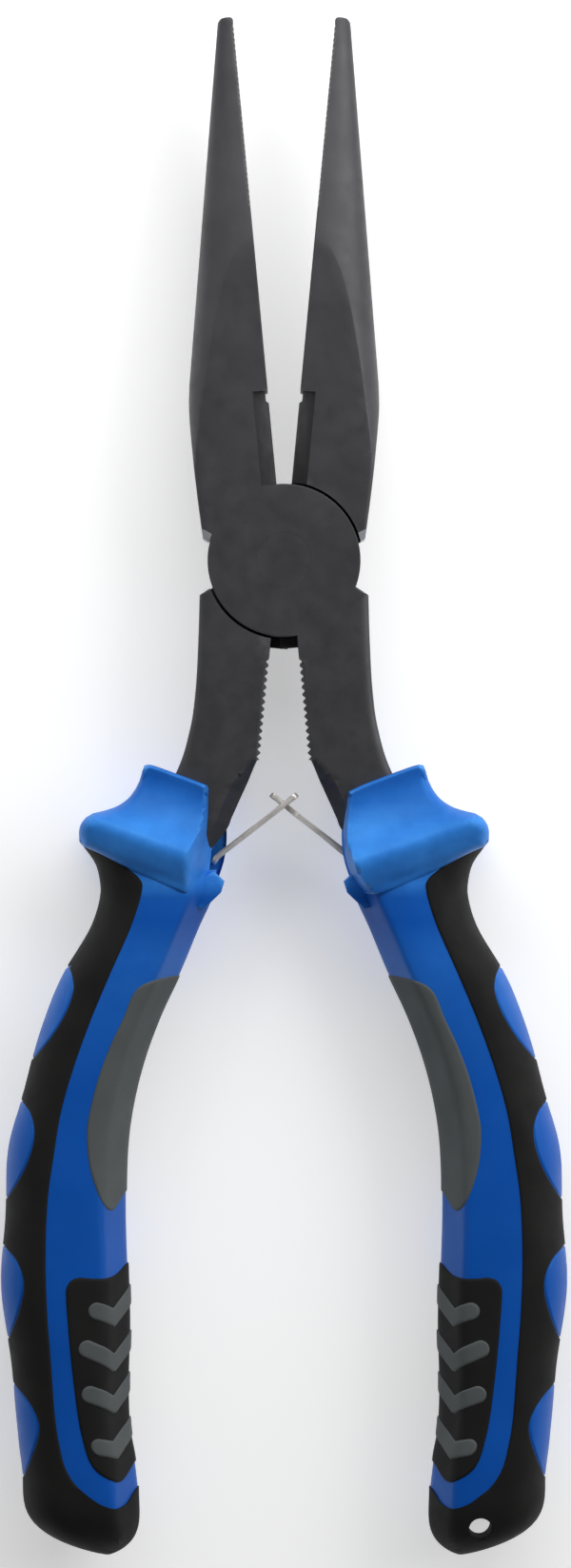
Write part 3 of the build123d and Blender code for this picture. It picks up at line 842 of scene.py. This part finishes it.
# how steeply the inner side falls, by distance below the pivot
SIDE_SLOPE_AT = (31.0, 35.0, 38.5, 42.0, 45.0)
SIDE_SLOPE, SIDE_OUT_SLOPE = (5.5, 4.0, 2.9, 2.3, 1.85), (12.0, 12.0, 10.0, 7.0, 3.6)


def guard_outline(inner_side):
    """The guard from above: top edge, inner side, lip, horn and flare, anticlockwise."""
    side = smooth_curve(inner_side)
    top_edge = smooth_curve([(19.4, -29.1), (19.1, -28.25), (18.35, -27.75), (14.4, -29.1), (10.6, -30.55),
                             (side[0, 0] + 0.45, side[0, 1] + 0.75)])
    lip = smooth_curve([(10.7, -45.3), (12.6, -45.35), (15.0, -44.65), (19.2, -42.85), (22.0, -41.4),
                        (24.9, -39.9), (27.2, -38.9)])
    horn = smooth_curve([(27.75, -38.2), (27.85, -37.1), (27.6, -35.9), (26.9, -34.95)])
    flare = smooth_curve([(25.9, -34.35), (24.4, -34.0), (22.7, -33.4), (21.25, -32.4), (20.3, -31.2),
                          (19.65, -29.9)])
    return outline_of([(top_edge, 0.5), (side, 0.35), (lip, (0.35, 0.8)), (horn, 1.5), (flare, (1.5, 1.1))])


def guard_face(sign, inner_side, slope):
    """The guard's front (1) or back (-1) face: a saddle, a lip and a falling inner side."""
    across = np.array((cos(GUARD_TILT), sin(GUARD_TILT)))
    along = np.array((-sin(GUARD_TILT), cos(GUARD_TILT)))
    side = smooth_curve(inner_side)
    least = GUARD_STEP_Z if sign > 0 else 1.0

    def face(p, distance, rim):
        t, out = (p - GUARD_RIDGE) @ along, (p - GUARD_RIDGE) @ across
        height = np.interp(t, GUARD_PROFILE[:, 0], GUARD_PROFILE[:, 1])
        height = height + SADDLE_RISE * np.clip(out / 8, -1, 1) ** 2 * np.clip(t / 4, 0, 1)
        down = -p[:, 1]
        from_side = p[:, 0] - np.interp(down, -side[:, 1], side[:, 0])
        bevel = 1.0 + np.interp(down, SIDE_SLOPE_AT, slope) * from_side
        height = np.maximum(soft_min(height, bevel, 1.1), least)
        drop = 1.7 * rim * (1 - rounded(distance, rim))
        return np.column_stack([p, MID_Z + sign * (height - drop)])
    return face


def build_guard():
    """The guard as a back part and a front part, whose inner side stands out over the leaf spring."""
    parts = []
    for name, sign, inner_side, slope, level in (
            ("guard_front", 1, GUARD_SIDE_OUT, SIDE_OUT_SLOPE, GUARD_STEP_Z),
            ("guard_back", -1, GUARD_SIDE, SIDE_SLOPE, GUARD_STEP_Z + 0.05)):
        loop, rim = guard_outline(inner_side)

        def flat(p, distance, rim, z=MID_Z + level):
            return np.column_stack([p, np.full(len(p), z)])

        faces = (guard_face(sign, inner_side, slope), flat)[::sign]
        parts.append(slab(name, [loop], *faces, [rim], (0.06, 0.18, 0.4, 0.75, 1.15), 0.5))
    return parts


def build_socket():
    """The block with rounded rims that the leaf spring is rooted in."""
    loop = path(*(straight(a, b) for a, b in zip(SOCKET, SOCKET[1:] + SOCKET[:1])))

    def face(p, distance, rim, sign=1):
        return np.column_stack([p, MID_Z + sign * (SOCKET_HALF - rim * (1 - rounded(distance, rim)))])
    return slab("socket", [loop], face, partial(face, sign=-1), 0.25, (0.05, 0.15, 0.25), 0.8)


def build_filling(name, top_y, end_y, inset=0.0):
    """The body under the skin pieces between two heights, closed at both ends."""
    rings = []
    sides = np.concatenate([np.linspace(0, 1, AROUND), -np.linspace(1, 0, AROUND)[1:-1]])
    for run in RUN[(ROW_Y <= top_y) & (ROW_Y >= end_y)]:
        point, normal = on_skin(np.full(len(sides), run), sides)
        rings.append(point - inset * normal)
    return loft(name, rings)


# --- materials
MIX_A, MIX_B, MIX_RESULT = 6, 7, 2  # a mix node's colour sockets
# how much the blue is lightened by place along the grip, partly as rubbed wear and partly as painted light
# where the guard's lip faces away from the key light: most on the guard's lip
RUB_AND_PAINTED_LIGHT_ALONG_Y = ((-72, 0.0), (-62, 0.15), (-54, 0.25), (-49, 0.0), (-45.8, 0.1), (-43.8, 0.95), (-39, 1.0),
               (-36, 0.85), (-33, 0.4), (-28, 0.35))


def add_node(mat, kind, inputs=None, **attributes):
    """A new node, with its inputs set to values or linked to other nodes' outputs."""
    node = mat.node_tree.nodes.new(kind)
    for name, value in attributes.items():
        setattr(node, name, value)
    for key, value in (inputs or {}).items():
        if isinstance(value, bpy.types.NodeSocket):
            mat.node_tree.links.new(value, node.inputs[key])
        else:
            node.inputs[key].default_value = value
    return node


def noise(mat, scale, detail=4.0, rough=0.55, stretch=None):
    """Noise in object space, so that it stays put on the piece."""
    source = add_node(mat, "ShaderNodeTexCoord").outputs["Object"]
    if stretch is not None:
        mapping = add_node(mat, "ShaderNodeMapping", {"Scale": stretch, "Vector": source})
        source = mapping.outputs["Vector"]
    inputs = {"Scale": scale, "Detail": detail, "Roughness": rough, "Vector": source}
    return add_node(mat, "ShaderNodeTexNoise", inputs).outputs["Fac"]


def ramp(mat, source, stops):
    """A colour ramp from (place, colour or value) stops."""
    node = add_node(mat, "ShaderNodeValToRGB", {"Fac": source})
    elements = node.color_ramp.elements
    elements[0].position, elements[1].position = stops[0][0], stops[-1][0]
    for place, _ in stops[1:-1]:
        elements.new(place)
    for element, (_, value) in zip(elements, stops):
        colour = value if isinstance(value, tuple) else (value,) * 3
        element.color = (*colour, 1)
    return node.outputs["Color"]


def map_range(mat, source, low, high, to_low=0.0, to_high=1.0):
    """A value carried from low..high to another range, and held at its ends."""
    inputs = {"Value": source, "From Min": low, "From Max": high, "To Min": to_low, "To Max": to_high}
    return add_node(mat, "ShaderNodeMapRange", inputs).outputs["Result"]


def span(mat, source, low, high):
    """Noise, most of which lies in 0.3..0.7, carried to low..high."""
    return map_range(mat, source, 0.3, 0.7, low, high)


def product(mat, first, second):
    node = add_node(mat, "ShaderNodeMath", {0: first, 1: second}, operation="MULTIPLY")
    return node.outputs["Value"]


def mix(mat, factor, first, second):
    """From the first colour's socket to the second colour as the factor grows."""
    inputs = {"Factor": factor, MIX_A: first, MIX_B: (*second, 1)}
    return add_node(mat, "ShaderNodeMix", inputs, data_type="RGBA").outputs[MIX_RESULT]


def edge_wear(low, high):
    """Makes what is 1 along worn convex edges, broken up by noise."""
    def factor(mat):
        convexity = add_node(mat, "ShaderNodeAttribute", attribute_name="convexity").outputs["Fac"]
        return product(mat, map_range(mat, convexity, low, high), span(mat, noise(mat, 900, 3), 0.2, 1.0))
    return factor


def guard_rub_and_painted_light(mat):
    """How much the plastic is lightened on the thumb guard, partly as thumb rubbing and partly as painted
    light on the lip, broken up by noise.
    """
    coordinates = add_node(mat, "ShaderNodeTexCoord").outputs["Object"]
    place = add_node(mat, "ShaderNodeSeparateXYZ", {"Vector": coordinates}).outputs["Y"]
    first, last = RUB_AND_PAINTED_LIGHT_ALONG_Y[0][0], RUB_AND_PAINTED_LIGHT_ALONG_Y[-1][0]
    along = map_range(mat, place, first * MM, last * MM)
    fade = ramp(mat, along, [((y - first) / (last - first), rub) for y, rub in RUB_AND_PAINTED_LIGHT_ALONG_Y])
    return product(mat, fade, span(mat, noise(mat, 150, 5, 0.65), 0.45, 1.0))


def surface(name, even, cloud, stops, rough, bumps, worn=()):
    """A material: a clouded colour under layers of wear and painted light, uneven roughness and bumps.

    even holds the shader's even values. A noise is (scale, detail, roughness, stretch):
    cloud is one, rough is (noise, low, high), and bumps are (noise, strength,
    millimetres). stops colour the cloud, and worn holds layers of (factor's maker, colour):
    wear, and on the blue also painted light on the thumb guard.
    """
    mat = bpy.data.materials.new(name)
    mat.use_nodes = True
    links = mat.node_tree.links
    shader = mat.node_tree.nodes["Principled BSDF"]
    for socket, value in even.items():
        shader.inputs[socket].default_value = value
    colour = ramp(mat, noise(mat, *cloud), stops)
    # these layers are wear, and on the blue also painted light that lightens the thumb guard's lip
    for factor, tone in worn:
        colour = mix(mat, factor(mat), colour, tone)
    links.new(colour, shader.inputs["Base Color"])
    texture, low, high = rough
    links.new(span(mat, noise(mat, *texture), low, high), shader.inputs["Roughness"])
    below = {}
    for texture, strength, distance in bumps:
        inputs = {"Strength": strength, "Distance": distance * MM, "Height": noise(mat, *texture)}
        normal = add_node(mat, "ShaderNodeBump", inputs | below).outputs["Normal"]
        below = {"Normal": normal}
        links.new(normal, shader.inputs["Normal"])
    return mat


def blackened_steel(name, worn=()):
    """Dark forged steel with a fine grain."""
    return surface(name, {"Base Color": (0.07, 0.07, 0.0745, 1), "Metallic": 0.7}, (160, 5),
                   [(0.3, (0.061, 0.061, 0.0655)), (0.7, (0.079, 0.079, 0.0845))],
                   ((420, 5), 0.44, 0.56), [((5200, 3, 0.7), 0.35, 0.02), ((900, 4), 0.2, 0.03)], worn)


def ground_steel(name, base, dark, light, scale, stretch, bump):
    """Bright steel with grinding lines across its thickness."""
    lines = (scale, 3, 0.6, (1.0, 1.0, stretch))
    return surface(name, {"Base Color": (*base, 1), "Metallic": 0.5}, lines, [(0.3, dark), (0.7, light)],
                   (lines, 0.3, 0.42), [(lines, *bump)])


def soft_rubber(name, dark, light, rough):
    """A matt moulded skin with a fine grain and a little dust."""
    dusty = tuple(1.7 * c + 0.006 for c in light)
    return surface(name, {"Base Color": (*dark, 1), "Specular IOR Level": 0.2}, (140, 5),
                   [(0.3, dark), (0.72, light)], ((300, 4), rough - 0.06, rough + 0.06),
                   [((3400, 3, 0.7), 0.45, 0.035), ((420, 3), 0.15, 0.05)],
                   [(edge_wear(0.54, 0.68), dusty)])


STEEL = blackened_steel("blackened_steel_finish", [(edge_wear(0.53, 0.62), (0.2, 0.2, 0.205))])
RIVET_STEEL = blackened_steel("rivet_head_finish")
BARE = ground_steel("bare_steel_finish", (0.5, 0.49, 0.48), 0.33, 0.52, 700, 9.0, (0.2, 0.02))
SPRING = ground_steel("spring_steel_finish", (0.72, 0.69, 0.65), (0.62, 0.585, 0.54), (0.82, 0.79, 0.75),
                      500, 12.0, (0.15, 0.015))
BLUE = surface("blue_plastic_finish",
               {"Base Color": (0.004, 0.11, 0.5, 1), "Specular IOR Level": 0.35,
                "Specular Tint": (0.35, 0.8, 1.0, 1)},
               (70, 3), [(0.3, (0.003, 0.078, 0.41)), (0.7, (0.005, 0.092, 0.47))], ((260, 5), 0.4, 0.52),
               [((2600, 3, 0.6), 0.16, 0.02), ((220, 3), 0.12, 0.06)],
               # the first layer is rubbed wear together with painted light, lightening the thumb guard most
               # on its lip
               [(guard_rub_and_painted_light, (0.05, 0.3, 0.9)), (edge_wear(0.53, 0.6), (0.08, 0.36, 0.85))])
BLACK = soft_rubber("black_rubber_finish", (0.0065, 0.0065, 0.0064), (0.0108, 0.0106, 0.0103), 0.7)
GREY = soft_rubber("grey_rubber_finish", (0.082, 0.092, 0.094), (0.097, 0.109, 0.111), 0.66)
# a pale matt sheet, lit a little from below, as on a light table
FLOOR = surface("floor_finish",
                {"Base Color": (0.86, 0.86, 0.86, 1), "Specular IOR Level": 0.2,
                 "Emission Color": (1, 1, 1, 1), "Emission Strength": 0.42},
                (9, 3), [(0.3, 0.85), (0.7, 0.87)], ((60, 3), 0.7, 0.85), [])


# --- assembly
def stand_for(obj, node, body, mat):
    """Puts a finished piece in a CAD node's place."""
    obj.data.materials.clear()
    obj.data.materials.append(mat)
    obj.data.shade_smooth()
    obj.data.set_sharp_from_angle(angle=SHARP_ANGLE)
    mark_edges(obj)
    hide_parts(node)
    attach(obj, body)


def both_hands(piece, kind, mat):
    """A right-hand piece and its twin on the left."""
    twin = half_turn(f"left_{kind}_shape", piece)
    piece.name = piece.data.name = f"right_{kind}_shape"
    stand_for(piece, f"right_{kind}", "right_half", mat)
    stand_for(twin, f"left_{kind}", "left_half", mat)
    return piece, twin


def bare_facets(lever, sign):
    """Bright ground metal on the stop shoulder's facets."""
    lever.data.materials.append(BARE)
    spot = (FACET_A + FACET_B) / 2 + 0.5 * hypot(*(FACET_B - FACET_A)) * FACET_OUT
    c, s = cos(REST_OPENING), sin(REST_OPENING)
    closed = np.array(((c, s), (-s, c)))
    for face in lever.data.polygons:
        x, y = closed @ (sign * face.center.x / MM, face.center.y / MM)
        normal = closed @ (sign * face.normal.x, face.normal.y)
        slope = hypot(*normal)
        near = hypot(x - spot[0], y - spot[1]) < FACET_REACH
        if slope > FACET_SLOPE and normal @ FACET_OUT / slope > FACET_FACING and near:
            face.material_index = 1


front = at_rest("lever_front_shape", build_lever())
back = half_turn("lever_back_shape", front)
for lever, node, body, sign in ((front, "lever_front", "right_half", 1),
                                (back, "lever_back", "left_half", -1)):
    combine(lever, rivet_tool(), "DIFFERENCE")
    close_pinholes(lever)
    stand_for(lever, node, body, STEEL)
    bare_facets(lever, sign)
rivet = frame["nodes"]["pivot_rivet"]
rivet.data.materials.clear()
rivet.data.materials.append(RIVET_STEEL)

# grip pieces
CORE_TOP_Y, CORE_END_Y = -38.8, -129.6
SPRING_ROOM = [(10.2, -42.1), (10.5, -40.9), (9.1, -37.6), (5, -36), (5, -42.1)]
body_shell = build_filling("core_body", CORE_TOP_Y, CORE_END_Y)
guard_front, guard_back = build_guard()
socket = build_socket()
mouth_half = SPRING_HALF_WIDTH + 0.3
for piece, mouth_top in ((body_shell, mouth_half), (guard_back, GUARD_STEP_Z + 1)):
    tool = prism("room_tool", [(x, y, MID_Z - mouth_half) for x, y in SPRING_ROOM],
                 (0, 0, mouth_half + mouth_top))
    combine(piece, tool, "DIFFERENCE")
pad_outlines = [mirrored_loop(edge_to_edge(pad, "outer")) for pad in FINGER_PADS]
pads = [patch("pad", [pad], "outer", PAD_PROUD) for pad in pad_outlines]
core = join("core", [body_shell, guard_front, guard_back, socket, *pads])
both_hands(core, "grip_core", BLUE)

loop, rim, seam_start = band_loops()
band = patch("band", [loop, *pad_outlines], "outer", BAND_PROUD,
             rims=[rim] + [np.full(len(pad), SKIN_RIM) for pad in pad_outlines],
             seam=lambda m: m[0] > seam_start and abs(abs(m[1]) - girth(m[0])) < 0.05, spacing=0.8)
tail = build_filling("tail", CORE_END_Y + 1.0, ROW_Y[-2], inset=0.5)
LANYARD = np.array(MOUNTS["lanyard_hole"]["pos_m"][:2]) / MM
LANYARD_RADIUS = MOUNTS["lanyard_hole"]["dims"]["r_mm"]
pierced = []
for piece in (band, tail):
    copy = link_object(piece.name + "_pierced", piece.data.copy())
    hole = disc_tool("lanyard_tool", LANYARD_RADIUS, MID_Z - 12, MID_Z + 12)
    hole.data.transform(Matrix.Translation((*(LANYARD * MM), 0)))
    pierced.append(combine(copy, hole, "DIFFERENCE"))
right_band = join("right_overmould_shape", pierced)
plain_band = join("plain_band", [band, tail])
left_band = half_turn("left_overmould_shape", plain_band)
bpy.data.objects.remove(plain_band)
for piece, hand in ((right_band, "right"), (left_band, "left")):
    stand_for(piece, f"{hand}_overmould", f"{hand}_half", BLACK)

for kind, line, proud, slot_name, mat in (
        ("palm_panel", PANEL_LINE, PANEL_PROUD, "black_rubber", BLACK),
        ("inlay", INLAY_LINE, PAD_PROUD, "grey_rubber", GREY)):
    piece = patch(kind, [mirrored_loop(edge_to_edge(line, "inner"))], "inner", proud)
    both_hands(piece, kind, mat)
for number, ends in enumerate(CHEVRONS, start=1):
    piece = patch("chevron", [bar_loop(*ends)], "inner", CHEVRON_PROUD, spacing=0.7)
    both_hands(piece, f"chevron_{number}", GREY)

# leaf springs
right_leaf = build_leaf("right_spring_shape", slotted=False)
left_leaf = half_turn("left_spring_shape", build_leaf("left_leaf_pattern", slotted=True))
bpy.data.objects.remove(bpy.data.objects["left_leaf_pattern"])
for leaf, side in ((right_leaf, "right"), (left_leaf, "left")):
    stand_for(leaf, f"{side}_spring", f"{side}_spring_leaf", SPRING)


# --- floor, light and camera
low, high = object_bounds()
FLOOR_HALF, FLOOR_GAP = 4000.0, 0.02
corners = [(x * FLOOR_HALF, y * FLOOR_HALF, low[2] / MM - FLOOR_GAP)
           for x, y in ((-1, -1), (1, -1), (1, 1), (-1, 1))]
floor = new_object("floor", corners, [(0, 1, 2, 3)])
floor.data.materials.append(FLOOR)


def studio():
    """A pale room: bright walls round the horizon under a dim ceiling."""
    world = bpy.data.worlds.new("studio")
    world.use_nodes = True
    direction = add_node(world, "ShaderNodeTexCoord").outputs["Generated"]
    height = add_node(world, "ShaderNodeSeparateXYZ", {"Vector": direction}).outputs["Z"]
    walls = ramp(world, height, ((0.1, 0.5), (0.35, 0.13), (0.8, 0.05)))
    world.node_tree.links.new(walls, world.node_tree.nodes["Background"].inputs["Color"])
    bpy.context.scene.world = world


def soft_box(name, place, target_y, size, power):
    """A rectangular area light, aimed at a point on the long axis; metres and watts."""
    data = bpy.data.lights.new(name, "AREA")
    data.shape = "RECTANGLE"
    data.size, data.size_y = size
    data.energy = power
    lamp = link_object(name, data)
    lamp.location = place
    aim = Vector((0, target_y, 0)) - Vector(place)
    lamp.rotation_euler = aim.to_track_quat("-Z", "Y").to_euler()


studio()
soft_box("key", (0.05, 0.27, 0.27), 0.0, (0.5, 0.25), 1.3)
soft_box("right_fill", (0.5, 0.16, 0.34), 0.02, (0.4, 0.5), 1.7)
soft_box("left_fill", (-0.5, 0.16, 0.36), 0.02, (0.4, 0.5), 0.6)

CAMERA_HEIGHT = 1.0
VIEW_CENTRE = (0.0002, -0.0304)
VIEW_LONG_SIDE = 0.2141  # metres across the picture's long side
camera = link_object("camera", bpy.data.cameras.new("camera"))
camera.location = (*VIEW_CENTRE, MID_Z * MM + CAMERA_HEIGHT)
camera.data.lens = camera.data.sensor_width * CAMERA_HEIGHT / VIEW_LONG_SIDE
camera.data.clip_start = 0.01
bpy.context.scene.camera = camera
bpy.context.scene.view_settings.view_transform = "Standard"
